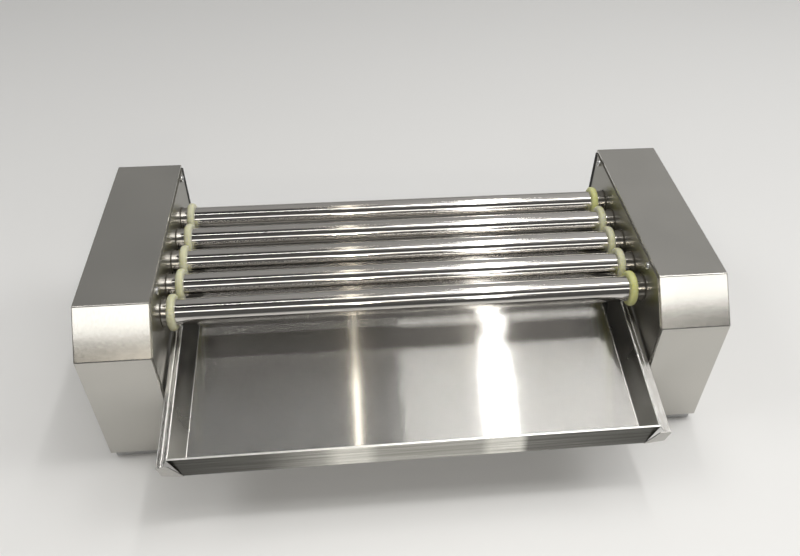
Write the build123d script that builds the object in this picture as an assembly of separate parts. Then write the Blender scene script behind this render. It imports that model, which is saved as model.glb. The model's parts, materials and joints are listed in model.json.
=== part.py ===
"""Five-roller hot dog grill: two sheet metal end housings, driven heated rollers, a pull-out drip tray.

The grill is laid out about its centre plane (X = 0), with the front faces of the end housings at
Y = 0 and the surface it stands on at Z = 0. X points right, Y to the back and Z up. The finished
pieces are then moved by ORIGIN_SHIFT, so that the origin is the bottom centre of the whole part.
All sizes are in millimetres. The drip tray is drawn pulled out, where its front hangs low.
"""
from build123d import *
import math
import os

# Whole grill
WIDTH = 580.0
HOUSING_WIDTH = 64.5
HOUSING_DEPTH = 243.5
TOP_Z = 174.0
COVER_BOTTOM_Z = 10.5
CHAMFER_RUN = 33.0
CHAMFER_DROP = 35.5
ORIGIN_SHIFT = (-8.75, -94.4, 0.0)

# Sheet metal
SHEET = 1.0
BEND_RADIUS = 2.4
END_RADIUS = 1.5
RETURN_FLANGE = 12.0
BOTTOM_FLANGE = 15.0
PLATE_INSET = 3.5
OUTER_X = WIDTH / 2
INNER_X = OUTER_X - HOUSING_WIDTH
PLATE_FACE_X = INNER_X - SHEET

# Rollers
ROLLER_COUNT = 5
ROLLER_PITCH = 34.3
FIRST_ROLLER_Y = 59.0
ROLLER_Z = 136.0
TUBE_RADIUS = 12.5
TUBE_WALL = 1.0
TUBE_LEFT_X = -238.0
TUBE_RIGHT_X = 243.0
ROLLER_YS = [FIRST_ROLLER_Y + i * ROLLER_PITCH for i in range(ROLLER_COUNT)]
RING_RADIUS = 17.0
RING_WIDTH = 7.0
RING_EDGE_RADIUS = 2.8
LEFT_RING_GAPS = [5.5, 9.0, 8.1, 8.3, 7.0]
RIGHT_RING_GAPS = [7.9, 9.4, 9.6, 9.6, 8.7]

# Bushings
BUSHING_BORE = TUBE_RADIUS + 0.05
BUSHING_RADIUS = 13.6
BUSHING_NOSE = 0.8
BUSHING_FLANGE_RADIUS = 16.7
BUSHING_FLANGE = 3.0

# Chain drive, quarter inch pitch
CHAIN_PITCH = 6.35
CHAIN_X = 237.2
PIN_RADIUS = 1.5
LINK_HALF_HEIGHT = 1.7
LINK_SHEET = 0.7
LINK_GAP = 3.2
SPROCKET_WIDTH = 2.4
TOOTH_GAP_RADIUS = 2.05
TOOTH_HEIGHT = 0.7
ENGAGED_DEPTH = 0.4
ROLLER_TEETH = 16
MOTOR_TEETH = 12
MOTOR_Y = 127.6
MOTOR_Z = 62.0

# Gear motor
MOTOR_RADIUS = 25.0
SHAFT_RADIUS = 3.5
BRACKET_X = 244.0
BRACKET_SHEET = 2.0
BRACKET_FRONT_Y = 92.0
BRACKET_REAR_Y = 163.0
BRACKET_SOLE = 20.0
GEARBOX_LENGTH = 14.0
MOTOR_LENGTH = 22.0

# Heaters
ROD_RADIUS = 4.0
HEATER_PLATE_X = 246.0
HEATER_SHEET = 1.2

# Base
BASE_TOP_Z = 8.7
BASE_BOTTOM_Z = 1.5
BASE_INSET = 3.0
FOOT_RADIUS = 11.0

# Tray, in its own slanted frame: u to the right, v along the floor to the back, w square to the floor
TRAY_TILT = 9.7
TRAY_FRONT_Y = -70.7
TRAY_FRONT_Z = 82.0
TRAY_SHEET = 0.8
TRAY_HALF_WIDTH = 223.0
TRAY_FLANGE = 9.0
TRAY_FLOOR_HALF_WIDTH = 203.0
TRAY_DEPTH = 19.0
TRAY_LENGTH = 205.0
TRAY_LIP = 4.0
TRAY_FRONT_LEAN = 6.0
TRAY_ROD_V = 190.0
TRAY_ROD_W = -23.5
TRAY_ROD_RADIUS = 2.5
EAR_SPACING = 150.0
EAR_HALF_LENGTH = 9.0
CHANNEL_FRONT_Y = 108.0
CHANNEL_REAR_Y = 208.0
GLIDE_HALF_HEIGHT = 4.0
GLIDE_CLEARANCE = 0.15

# Tie bars
TIE_SHEET = 1.2
FRONT_BAR_TOP_Z = 73.4
FRONT_BAR_Y = 8.0
REAR_BAR_TOP_Z = 60.0
REAR_BAR_Y = 224.0
BAR_HEIGHT = 22.0
BAR_DEPTH = 14.0

# Controls on the outer face of the right housing
KNOB_Y = 78.0
KNOB_Z = 104.0
KNOB_RADIUS = 17.0
KNOB_HEIGHT = 16.5
SPINDLE_HOLE_RADIUS = 5.0
DIAL_RADIUS = 26.0
SWITCH_Y = 136.0
SWITCH_Z = 104.0
SWITCH_TILT = 8.0
SWITCH_HALF_WIDTH = 11.0
SWITCH_HALF_HEIGHT = 14.0
LAMP_Y = 107.0
LAMP_Z = 140.0
LAMP_HOLE_RADIUS = 6.0
GLAND_X = 262.0
GLAND_Z = 38.0
GLAND_HOLE_RADIUS = 8.0
GLAND_BORE = 4.0
GLAND_BORE_LENGTH = 14.0
GLAND_INNER_BORE = 5.0
GLAND_LENGTH = 16.0
GLAND_TAIL = 12.0
TERMINAL_LENGTH = 44.0
TERMINAL_WIDTH = 16.0
TERMINAL_HEIGHT = 16.0
TERMINAL_X = 254.0
TERMINAL_Y = 188.0

NODES = {}


# --- Small helpers ---------------------------------------------------------------------------

def rod_x(radius, x_low, x_high, y, z):
    """Cylinder along X."""
    return Pos((x_low + x_high) / 2, y, z) * Rot(0, 90, 0) * Cylinder(radius, x_high - x_low)


def rod_y(radius, y_low, y_high, x, z):
    """Cylinder along Y."""
    return Pos(x, (y_low + y_high) / 2, z) * Rot(90, 0, 0) * Cylinder(radius, y_high - y_low)


def rod_z(radius, z_low, z_high, x, y):
    """Cylinder along Z."""
    return Pos(x, y, (z_low + z_high) / 2) * Cylinder(radius, z_high - z_low)


def block(x_low, x_high, y_low, y_high, z_low, z_high):
    """Box between two corners."""
    middle = Pos((x_low + x_high) / 2, (y_low + y_high) / 2, (z_low + z_high) / 2)
    return middle * Box(x_high - x_low, y_high - y_low, z_high - z_low)


def group(solids):
    """Separate solids kept in one node."""
    return Compound(children=[solid for item in solids for solid in item.solids()])


def mirrored(shape):
    """The same piece for the left housing."""
    return mirror(shape, about=Plane.YZ)


def on_both_sides(shapes):
    """Right-hand pieces with their left-hand mirror images, in one list."""
    return list(shapes) + [mirrored(shape) for shape in shapes]


def screw_x(y, z, face_x, length, head_radius=3.6, head_height=2.2):
    """M4 pan head screw whose head sits on face_x and whose shank runs to +X."""
    head = rod_x(head_radius, face_x - head_height, face_x, y, z)
    head = fillet(head.edges().sort_by(Axis.X)[:1], 1.2)
    slot = block(face_x - head_height, face_x - head_height + 1.1, y - 0.5, y + 0.5, z - 2.2, z + 2.2)
    cross = block(face_x - head_height, face_x - head_height + 1.1, y - 2.2, y + 2.2, z - 0.5, z + 0.5)
    return head + rod_x(1.95, face_x, face_x + length, y, z) - slot - cross


def screw_z(x, y, face_z, length, head_radius=3.6, head_height=2.2):
    """M4 pan head screw whose head hangs below face_z and whose shank runs up."""
    head = rod_z(head_radius, face_z - head_height, face_z, x, y)
    head = fillet(head.edges().sort_by(Axis.Z)[:1], 1.2)
    slot = block(x - 2.2, x + 2.2, y - 0.5, y + 0.5, face_z - head_height, face_z - head_height + 1.1)
    return head + rod_z(1.95, face_z, face_z + length, x, y) - slot


# --- End housings ----------------------------------------------------------------------------

def housing_profile(inset, radius):
    """Side outline of a housing, moved in by inset, with its upper bends rounded."""
    corners = [
        (0, COVER_BOTTOM_Z),
        (HOUSING_DEPTH, COVER_BOTTOM_Z),
        (HOUSING_DEPTH, TOP_Z),
        (CHAMFER_RUN, TOP_Z),
        (0, TOP_Z - CHAMFER_DROP),
    ]
    face = Polygon(*corners, align=None)
    if inset:
        face = offset(face, -inset, kind=Kind.INTERSECTION)
    if radius:
        face = fillet([v for v in face.vertices() if v.Y > COVER_BOTTOM_Z + inset + 1], radius)
    return face


def housing_prism(inset, radius, x_low, x_high):
    """The side outline given a width."""
    return extrude(Plane.YZ.offset(x_low) * housing_profile(inset, radius), x_high - x_low)


def plain_cover():
    """Bent outer shell of the right housing, open to the side plate and to the base."""
    shell = housing_prism(0, BEND_RADIUS, INNER_X, OUTER_X)
    end_edges = [e for e in shell.faces().sort_by(Axis.X)[-1].edges() if e.center().Z > COVER_BOTTOM_Z + 1]
    shell = fillet(end_edges, END_RADIUS)
    hollow = housing_prism(SHEET, BEND_RADIUS - SHEET, INNER_X + SHEET, OUTER_X - SHEET)
    window = housing_prism(RETURN_FLANGE, 0, INNER_X - 1, INNER_X + SHEET + 1)
    bottom = block(
        INNER_X + BOTTOM_FLANGE, OUTER_X - BOTTOM_FLANGE, BOTTOM_FLANGE, HOUSING_DEPTH - BOTTOM_FLANGE,
        COVER_BOTTOM_Z - 1, COVER_BOTTOM_Z + SHEET + 1,
    )
    return shell - hollow - window - bottom - vent_slots() - cover_screw_holes()


def vent_slots():
    """Cooling slots low in the outer face."""
    slot_length = 34.0
    slots = [
        Plane.YZ.offset(OUTER_X - 2 * SHEET) * Pos(190, 34 + 8 * row) * SlotOverall(slot_length, 3.0)
        for row in range(6)
    ]
    return [extrude(slot, 3 * SHEET) for slot in slots]


PLATE_SCREWS = [(57.0, 165.5), (226.0, 167.0), (18.0, 17.5), (226.0, 17.5)]
BASE_SCREWS = [(235.0, 40.0), (235.0, 204.0), (280.0, 40.0), (280.0, 204.0)]


def cover_screw_holes():
    """Tapped holes in the return flanges."""
    side = [rod_x(2.0, INNER_X - 1, INNER_X + SHEET + 1, y, z) for y, z in PLATE_SCREWS]
    below = [rod_z(2.0, COVER_BOTTOM_Z - 1, COVER_BOTTOM_Z + SHEET + 1, x, y) for x, y in BASE_SCREWS]
    return side + below


def control_cutouts():
    """Openings in the right cover for the knob, switch, lamp and cable gland."""
    return [
        rod_x(SPINDLE_HOLE_RADIUS, OUTER_X - 3, OUTER_X + 1, KNOB_Y, KNOB_Z),
        block(
            OUTER_X - 3, OUTER_X + 1, SWITCH_Y - SWITCH_HALF_WIDTH, SWITCH_Y + SWITCH_HALF_WIDTH,
            SWITCH_Z - SWITCH_HALF_HEIGHT, SWITCH_Z + SWITCH_HALF_HEIGHT,
        ),
        rod_x(LAMP_HOLE_RADIUS, OUTER_X - 3, OUTER_X + 1, LAMP_Y, LAMP_Z),
        rod_y(GLAND_HOLE_RADIUS, HOUSING_DEPTH - 3, HOUSING_DEPTH + 1, GLAND_X, GLAND_Z),
    ]


def side_plate():
    """Polished plate that faces the rollers and carries their bushings."""
    plate = housing_prism(PLATE_INSET, 1.0, PLATE_FACE_X, INNER_X)
    for y in ROLLER_YS:
        plate -= rod_x(BUSHING_RADIUS, PLATE_FACE_X - 1, INNER_X + 1, y, ROLLER_Z)
    holes = [rod_x(2.0, PLATE_FACE_X - 1, INNER_X + 1, y, z) for y, z in PLATE_SCREWS + BAR_SCREWS]
    return plate - holes


def base_plate():
    """Folded plinth under a housing, set back from the cover all round."""
    x_low = INNER_X + BASE_INSET
    x_high = OUTER_X - BASE_INSET
    plinth = block(x_low, x_high, BASE_INSET, HOUSING_DEPTH - BASE_INSET, BASE_BOTTOM_Z, BASE_TOP_Z)
    plinth = fillet(plinth.edges().filter_by(Axis.Z), BEND_RADIUS)
    hollow = block(
        x_low + SHEET, x_high - SHEET, BASE_INSET + SHEET, HOUSING_DEPTH - BASE_INSET - SHEET,
        BASE_BOTTOM_Z - 1, BASE_TOP_Z - SHEET,
    )
    holes = [rod_z(2.1, 0, BASE_TOP_Z + 1, x, y) for x, y in BASE_SCREWS + FOOT_PLACES]
    bracket_holes = [rod_z(2.1, 0, BASE_TOP_Z + 1, x, y) for x, y in BRACKET_FEET]
    return plinth - hollow - holes - bracket_holes


FOOT_PLACES = [(257.5, 22.0), (257.5, HOUSING_DEPTH - 22.0)]
BRACKET_FEET = [(256.0, 105.0), (256.0, 150.0)]
FOOT_RECESS = 3.0


def foot(x, y):
    """Rubber foot with a recess for its screw."""
    body = Pos(x, y, 0) * Cone(
        FOOT_RADIUS - 1.5, FOOT_RADIUS, BASE_TOP_Z - SHEET, align=(Align.CENTER, Align.CENTER, Align.MIN)
    )
    recess = rod_z(4.4, -1, FOOT_RECESS, x, y)
    return body - recess - rod_z(2.1, 0, BASE_TOP_Z, x, y)


def base_spacer(x, y):
    """Washer that keeps the cover off the plinth."""
    return rod_z(4.5, BASE_TOP_Z, COVER_BOTTOM_Z, x, y) - rod_z(2.1, 0, TOP_Z, x, y)


def make_housings():
    right_cover = plain_cover() - control_cutouts()
    NODES["right_cover"] = right_cover
    NODES["left_cover"] = mirrored(plain_cover())
    NODES["right_side_plate"] = side_plate()
    NODES["left_side_plate"] = mirrored(side_plate())
    NODES["right_base_plate"] = base_plate()
    NODES["left_base_plate"] = mirrored(base_plate())
    NODES["feet"] = group(on_both_sides([foot(x, y) for x, y in FOOT_PLACES]))
    NODES["base_spacers"] = group(on_both_sides([base_spacer(x, y) for x, y in BASE_SCREWS]))
    plate_screws = [screw_x(y, z, PLATE_FACE_X, 6.0) for y, z in PLATE_SCREWS]
    NODES["side_plate_screws"] = group(on_both_sides(plate_screws))
    base_screws = [screw_z(x, y, BASE_TOP_Z - SHEET, 6.0) for x, y in BASE_SCREWS]
    NODES["base_screws"] = group(on_both_sides(base_screws))
    foot_screws = [screw_z(x, y, FOOT_RECESS, 8.0) for x, y in FOOT_PLACES]
    NODES["foot_screws"] = group(on_both_sides(foot_screws))


# --- Tie bars --------------------------------------------------------------------------------

BAR_SCREWS = [
    (y + BAR_DEPTH / 2, top - offset_z)
    for y, top in ((FRONT_BAR_Y, FRONT_BAR_TOP_Z), (REAR_BAR_Y - BAR_DEPTH / 2, REAR_BAR_TOP_Z))
    for offset_z in (7.0, 16.0)
]


def tie_bar(front_y, top_z):
    """Channel open to the back, with end tabs that lie on the side plates."""
    span = PLATE_FACE_X
    outer = block(-span, span, front_y, front_y + BAR_DEPTH, top_z - BAR_HEIGHT, top_z)
    outer = fillet(outer.edges().filter_by(Axis.X).sort_by(Axis.Y)[:2], BEND_RADIUS)
    inside = block(
        -span + TIE_SHEET, span - TIE_SHEET, front_y + TIE_SHEET, front_y + BAR_DEPTH + 1,
        top_z - BAR_HEIGHT + TIE_SHEET, top_z - TIE_SHEET,
    )
    holes = [rod_x(2.0, -span - 1, span + 1, y, z) for y, z in BAR_SCREWS]
    return outer - inside - holes


def make_tie_bars():
    NODES["front_tie_bar"] = tie_bar(FRONT_BAR_Y, FRONT_BAR_TOP_Z)
    NODES["rear_tie_bar"] = tie_bar(REAR_BAR_Y - BAR_DEPTH / 2, REAR_BAR_TOP_Z)
    screws = [screw_x(y, z, PLATE_FACE_X - TIE_SHEET, 7.0) for y, z in BAR_SCREWS]
    NODES["tie_bar_screws"] = group(on_both_sides(screws))


# --- Rollers, bushings and heaters -----------------------------------------------------------

def bushing(y):
    """Flanged bushing: its nose stands out of the plate's hole and its flange is inside the housing."""
    nose_x = PLATE_FACE_X - BUSHING_NOSE
    body = rod_x(BUSHING_RADIUS, nose_x, INNER_X, y, ROLLER_Z)
    body += rod_x(BUSHING_FLANGE_RADIUS, INNER_X, INNER_X + BUSHING_FLANGE, y, ROLLER_Z)
    return body - rod_x(BUSHING_BORE, nose_x - 1, INNER_X + BUSHING_FLANGE + 1, y, ROLLER_Z)


def roller_tube(y):
    tube = rod_x(TUBE_RADIUS, TUBE_LEFT_X, TUBE_RIGHT_X, y, ROLLER_Z)
    return tube - rod_x(TUBE_RADIUS - TUBE_WALL, TUBE_LEFT_X - 1, TUBE_RIGHT_X + 1, y, ROLLER_Z)


def seal_ring(y, x_low):
    """Soft ring that stops fat running along the tube."""
    ring = rod_x(RING_RADIUS, x_low, x_low + RING_WIDTH, y, ROLLER_Z)
    ring = fillet(ring.edges(), RING_EDGE_RADIUS)
    return ring - rod_x(TUBE_RADIUS, x_low - 1, x_low + RING_WIDTH + 1, y, ROLLER_Z)


def seal_ring_pair(index):
    y = ROLLER_YS[index]
    left = seal_ring(y, -PLATE_FACE_X + LEFT_RING_GAPS[index])
    right = seal_ring(y, PLATE_FACE_X - RIGHT_RING_GAPS[index] - RING_WIDTH)
    return group([left, right])


def heater_bracket():
    """Z-shaped strip behind the side plate that holds the five heating rods on the roller axes."""
    y_low = ROLLER_YS[0] - 12
    y_high = ROLLER_YS[-1] + 12
    top = ROLLER_Z + 25
    strip = block(HEATER_PLATE_X, HEATER_PLATE_X + HEATER_SHEET, y_low, y_high, ROLLER_Z - 10, top)
    web = block(INNER_X, HEATER_PLATE_X + HEATER_SHEET, y_low, y_high, top - HEATER_SHEET, top)
    tab = block(INNER_X, INNER_X + HEATER_SHEET, y_low, y_high, ROLLER_Z + 17.5, top)
    bracket = strip + web + tab
    for y in ROLLER_YS:
        bracket -= rod_x(ROD_RADIUS + 0.05, HEATER_PLATE_X - 1, HEATER_PLATE_X + 3, y, ROLLER_Z)
    return bracket


def heater_insulator(y):
    """Ceramic bead on the end of a heating rod."""
    x_low = HEATER_PLATE_X + HEATER_SHEET
    bead = rod_x(6.0, x_low, x_low + 9, y, ROLLER_Z)
    return bead - rod_x(ROD_RADIUS + 0.05, x_low - 1, x_low + 5.2, y, ROLLER_Z)


def make_rollers():
    NODES["right_roller_bushings"] = group([bushing(y) for y in ROLLER_YS])
    NODES["left_roller_bushings"] = group([mirrored(bushing(y)) for y in ROLLER_YS])
    for index, y in enumerate(ROLLER_YS):
        number = index + 1
        NODES[f"roller_tube_{number}"] = roller_tube(y)
        NODES[f"seal_rings_{number}"] = seal_ring_pair(index)
    rod_end = HEATER_PLATE_X + HEATER_SHEET + 5
    NODES["heater_rods"] = group([rod_x(ROD_RADIUS, -rod_end, rod_end, y, ROLLER_Z) for y in ROLLER_YS])
    NODES["right_heater_bracket"] = heater_bracket()
    NODES["left_heater_bracket"] = mirrored(heater_bracket())
    NODES["right_heater_insulators"] = group([heater_insulator(y) for y in ROLLER_YS])
    NODES["left_heater_insulators"] = group([mirrored(heater_insulator(y)) for y in ROLLER_YS])


# --- Chain drive -----------------------------------------------------------------------------

def pitch_radius(teeth):
    return CHAIN_PITCH / (2 * math.sin(math.pi / teeth))


def outer_tangent(center_a, radius_a, center_b, radius_b):
    """Points where the left-hand outer tangent from circle a to circle b touches them."""
    dy = center_b[0] - center_a[0]
    dz = center_b[1] - center_a[1]
    distance = math.hypot(dy, dz)
    normal = math.atan2(dz, dy) + math.acos((radius_a - radius_b) / distance)
    direction = (math.cos(normal), math.sin(normal))
    start = (center_a[0] + radius_a * direction[0], center_a[1] + radius_a * direction[1])
    end = (center_b[0] + radius_b * direction[0], center_b[1] + radius_b * direction[1])
    return start, end


def chain_path():
    """Closed loop round the front roller, the rear roller and the motor sprocket."""
    wheels = [
        ((ROLLER_YS[0], ROLLER_Z), pitch_radius(ROLLER_TEETH)),
        ((ROLLER_YS[-1], ROLLER_Z), pitch_radius(ROLLER_TEETH)),
        ((MOTOR_Y, MOTOR_Z), pitch_radius(MOTOR_TEETH)),
    ]
    runs = [outer_tangent(*wheels[i], *wheels[(i + 1) % 3]) for i in range(3)]
    edges = []
    for i in range(3):
        start, end = runs[i]
        following = runs[(i + 1) % 3][0]
        (cy, cz), radius = wheels[(i + 1) % 3]
        toward = ((end[0] + following[0]) / 2 - cy, (end[1] + following[1]) / 2 - cz)
        scale = radius / math.hypot(*toward)
        middle = (cy + toward[0] * scale, cz + toward[1] * scale)
        edges.append(Line(start, end))
        edges.append(ThreePointArc(end, middle, following))
    return Wire(edges)


def chain_pins(path):
    """Places of the chain pins, evenly spaced along the loop."""
    count = round(path.length / CHAIN_PITCH)
    points = [path.position_at(i / count) for i in range(count)]
    return [(point.X, point.Y) for point in points]


def chain_loop(path, pins):
    """Two link bands joined by the pins."""
    band = offset(Face(path), LINK_HALF_HEIGHT) - offset(Face(path), -LINK_HALF_HEIGHT)
    near = CHAIN_X - LINK_GAP / 2 - LINK_SHEET
    far = CHAIN_X + LINK_GAP / 2
    chain = extrude(Plane.YZ.offset(near) * band, LINK_SHEET, dir=(1, 0, 0))
    chain += extrude(Plane.YZ.offset(far) * band, LINK_SHEET, dir=(1, 0, 0))
    pin_solids = [rod_x(PIN_RADIUS, near, far + LINK_SHEET, y, z) for y, z in pins]
    return chain + pin_solids


def sprocket(teeth, center, pins, bore, hub_radius, hub_x):
    """Toothed wheel turned so that its tooth gaps hold the chain pins that lie on it."""
    radius = pitch_radius(teeth)
    offsets = [(y - center[0], z - center[1]) for y, z in pins]
    angles = [math.atan2(dz, dy) for dy, dz in offsets if math.hypot(dy, dz) < radius + ENGAGED_DEPTH]
    mean_sine = sum(math.sin(teeth * angle) for angle in angles)
    mean_cosine = sum(math.cos(teeth * angle) for angle in angles)
    phase = math.degrees(math.atan2(mean_sine, mean_cosine)) / teeth
    tip = radius + TOOTH_HEIGHT
    flare = Polygon(
        (radius, -TOOTH_GAP_RADIUS), (tip + 2, -2.8), (tip + 2, 2.8), (radius, TOOTH_GAP_RADIUS), align=None
    )
    gap = Pos(radius, 0) * Circle(TOOTH_GAP_RADIUS) + flare
    wheel = Circle(tip) - [Rot(0, 0, phase + 360 * i / teeth) * gap for i in range(teeth)]
    wheel = extrude(Plane.YZ.offset(CHAIN_X - SPROCKET_WIDTH / 2) * Pos(*center) * wheel, SPROCKET_WIDTH)
    hub = rod_x(hub_radius, min(hub_x, CHAIN_X), max(hub_x, CHAIN_X), *center)
    return wheel + hub - rod_x(bore, CHAIN_X - 20, CHAIN_X + 20, *center)


def make_chain_drive():
    path = chain_path()
    pins = chain_pins(path)
    NODES["drive_chain"] = chain_loop(path, pins)
    for index, y in enumerate(ROLLER_YS):
        NODES[f"roller_sprocket_{index + 1}"] = sprocket(
            ROLLER_TEETH, (y, ROLLER_Z), pins, TUBE_RADIUS, TUBE_RADIUS + 0.85, INNER_X + 4.5
        )
    NODES["drive_sprocket"] = sprocket(
        MOTOR_TEETH, (MOTOR_Y, MOTOR_Z), pins, SHAFT_RADIUS, 7.0, CHAIN_X - 7
    )


# --- Gear motor ------------------------------------------------------------------------------

MOTOR_EARS = [(MOTOR_Y, MOTOR_Z + 30.0), (MOTOR_Y, MOTOR_Z - 30.0)]


def motor_bracket():
    """Angle that stands on the base plate and carries the gearbox."""
    upright = block(
        BRACKET_X, BRACKET_X + BRACKET_SHEET, BRACKET_FRONT_Y, BRACKET_REAR_Y, BASE_TOP_Z, MOTOR_Z + 38
    )
    sole = block(
        BRACKET_X, BRACKET_X + BRACKET_SOLE, BRACKET_FRONT_Y, BRACKET_REAR_Y,
        BASE_TOP_Z, BASE_TOP_Z + BRACKET_SHEET,
    )
    boss_hole = rod_x(8.2, BRACKET_X - 1, BRACKET_X + 3, MOTOR_Y, MOTOR_Z)
    ear_holes = [rod_x(2.0, BRACKET_X - 1, BRACKET_X + 3, y, z) for y, z in MOTOR_EARS]
    sole_holes = [rod_z(2.0, BASE_TOP_Z - 1, BASE_TOP_Z + 3, x, y) for x, y in BRACKET_FEET]
    return upright + sole - boss_hole - ear_holes - sole_holes


def make_motor():
    gearbox_x = BRACKET_X + BRACKET_SHEET
    motor_x = gearbox_x + GEARBOX_LENGTH
    gearbox = rod_x(MOTOR_RADIUS, gearbox_x, motor_x, MOTOR_Y, MOTOR_Z)
    gearbox += rod_x(8.0, BRACKET_X - 1, gearbox_x, MOTOR_Y, MOTOR_Z)
    for y, z in MOTOR_EARS:
        ear = block(gearbox_x, gearbox_x + 2, y - 6, y + 6, min(z, MOTOR_Z) - 5, max(z, MOTOR_Z) + 5)
        gearbox += ear
    gearbox -= [rod_x(2.0, gearbox_x - 1, gearbox_x + 3, y, z) for y, z in MOTOR_EARS]
    gearbox -= rod_x(SHAFT_RADIUS + 0.05, BRACKET_X - 2, motor_x - 3, MOTOR_Y, MOTOR_Z)
    NODES["motor_gearbox"] = gearbox
    can = rod_x(MOTOR_RADIUS - 0.5, motor_x, motor_x + MOTOR_LENGTH, MOTOR_Y, MOTOR_Z)
    NODES["motor_can"] = fillet(can.edges().sort_by(Axis.X)[-1:], 2.5)
    NODES["motor_shaft"] = rod_x(SHAFT_RADIUS, CHAIN_X - 7, motor_x - 4, MOTOR_Y, MOTOR_Z)
    NODES["motor_bracket"] = motor_bracket()
    screws = [screw_x(y, z, BRACKET_X, 7.0) for y, z in MOTOR_EARS]
    screws += [screw_z(x, y, BASE_TOP_Z - SHEET, 6.0) for x, y in BRACKET_FEET]
    NODES["motor_screws"] = group(screws)


# --- Drip tray -------------------------------------------------------------------------------

def tray_plane():
    """Plane of the tray's flanges: local x is u, local y is v and the normal is w."""
    tilt = math.radians(TRAY_TILT)
    normal = (0, -math.sin(tilt), math.cos(tilt))
    return Plane(origin=(0, TRAY_FRONT_Y, TRAY_FRONT_Z), x_dir=(1, 0, 0), z_dir=normal)


def tray_point(v, w):
    """Y and Z of a place on the tray."""
    tilt = math.radians(TRAY_TILT)
    y = TRAY_FRONT_Y + v * math.cos(tilt) - w * math.sin(tilt)
    z = TRAY_FRONT_Z + v * math.sin(tilt) + w * math.cos(tilt)
    return y, z


def tray_bowl(grow):
    """Solid that fills the pan; grow adds a sheet thickness to every wall and to the floor."""
    rim = TRAY_HALF_WIDTH - TRAY_FLANGE + grow
    floor = TRAY_FLOOR_HALF_WIDTH + grow
    top_front = TRAY_FRONT_LEAN + TRAY_SHEET - grow
    bottom_front = TRAY_SHEET - grow
    back = TRAY_LENGTH - TRAY_SHEET + grow
    depth = TRAY_DEPTH + grow
    top = Polygon((-rim, top_front), (rim, top_front), (rim, back), (-rim, back), align=None)
    bottom = Pos(0, 0, -depth) * Polygon(
        (-floor, bottom_front), (floor, bottom_front), (floor, back - 3), (-floor, back - 3), align=None
    )
    return loft([top, bottom])


def tray_flange(side):
    """Side flange with a pressed groove and a lip turned down along its outer edge."""
    inner = TRAY_HALF_WIDTH - TRAY_FLANGE
    outer = TRAY_HALF_WIDTH
    flange = block(inner, outer, 0, TRAY_LENGTH, -TRAY_SHEET, 0)
    lip = block(outer - TRAY_SHEET, outer, 0, TRAY_LENGTH, -TRAY_LIP, 0)
    groove = block(outer - 5.2, outer - 4.2, -1, TRAY_LENGTH + 1, -0.35, 1)
    shape = flange + lip - groove
    return shape if side > 0 else mirrored(shape)


def tray_corner(side):
    """Gusset that closes the corner between the front wall and the flange."""
    corner = Polygon(
        (TRAY_HALF_WIDTH - TRAY_FLANGE - 1.0, -0.2),
        (TRAY_HALF_WIDTH, -0.2),
        (TRAY_HALF_WIDTH - 2.0, -TRAY_DEPTH + 3.0),
        (TRAY_FLOOR_HALF_WIDTH, -TRAY_DEPTH - TRAY_SHEET),
        align=None,
    )
    shape = extrude(Plane.XZ * corner, TRAY_SHEET, dir=(0, 1, 0))
    return shape if side > 0 else mirrored(shape)


def make_tray():
    walls = tray_bowl(TRAY_SHEET) - tray_bowl(0)
    pan = walls + [tray_flange(side) for side in (1, -1)] + [tray_corner(side) for side in (1, -1)]
    NODES["drip_tray"] = tray_plane().location * pan

    rod_y_place, rod_z_place = tray_point(TRAY_ROD_V, TRAY_ROD_W)
    ears = []
    for x in (-EAR_SPACING, 0, EAR_SPACING):
        ear = block(
            x - 1, x + 1, TRAY_ROD_V - EAR_HALF_LENGTH, TRAY_ROD_V + EAR_HALF_LENGTH,
            TRAY_ROD_W - 5, -TRAY_DEPTH - TRAY_SHEET,
        )
        eye = Pos(x, TRAY_ROD_V, TRAY_ROD_W) * Rot(0, 90, 0) * Cylinder(TRAY_ROD_RADIUS + 0.05, 10)
        ear = fillet(ear.edges().filter_by(Axis.X).sort_by(Axis.Z)[:2], 4)
        ears.append(tray_plane().location * (ear - eye))
    NODES["tray_hinge_ears"] = group(ears)
    rod_reach = PLATE_FACE_X - 4
    NODES["tray_rod"] = rod_x(TRAY_ROD_RADIUS, -rod_reach, rod_reach, rod_y_place, rod_z_place)

    channel_x = PLATE_FACE_X - 10
    half = GLIDE_HALF_HEIGHT + GLIDE_CLEARANCE
    glide = block(
        channel_x + 0.5, PLATE_FACE_X - TIE_SHEET - 0.3, rod_y_place - 9, rod_y_place + 9,
        rod_z_place - GLIDE_HALF_HEIGHT, rod_z_place + GLIDE_HALF_HEIGHT,
    )
    glide = fillet(glide.edges().filter_by(Axis.X), 1.5)
    glide -= rod_x(TRAY_ROD_RADIUS, 0, rod_reach, rod_y_place, rod_z_place)
    NODES["tray_glides"] = group(on_both_sides([glide]))
    channel = block(
        channel_x, PLATE_FACE_X, CHANNEL_FRONT_Y, CHANNEL_REAR_Y,
        rod_z_place - half - TIE_SHEET, rod_z_place + half + TIE_SHEET,
    )
    channel -= block(
        channel_x - 1, PLATE_FACE_X - TIE_SHEET, CHANNEL_FRONT_Y + TIE_SHEET, CHANNEL_REAR_Y - TIE_SHEET,
        rod_z_place - half, rod_z_place + half,
    )
    NODES["right_tray_channel"] = channel
    NODES["left_tray_channel"] = mirrored(channel)


# --- Controls and wiring pieces --------------------------------------------------------------

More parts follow.
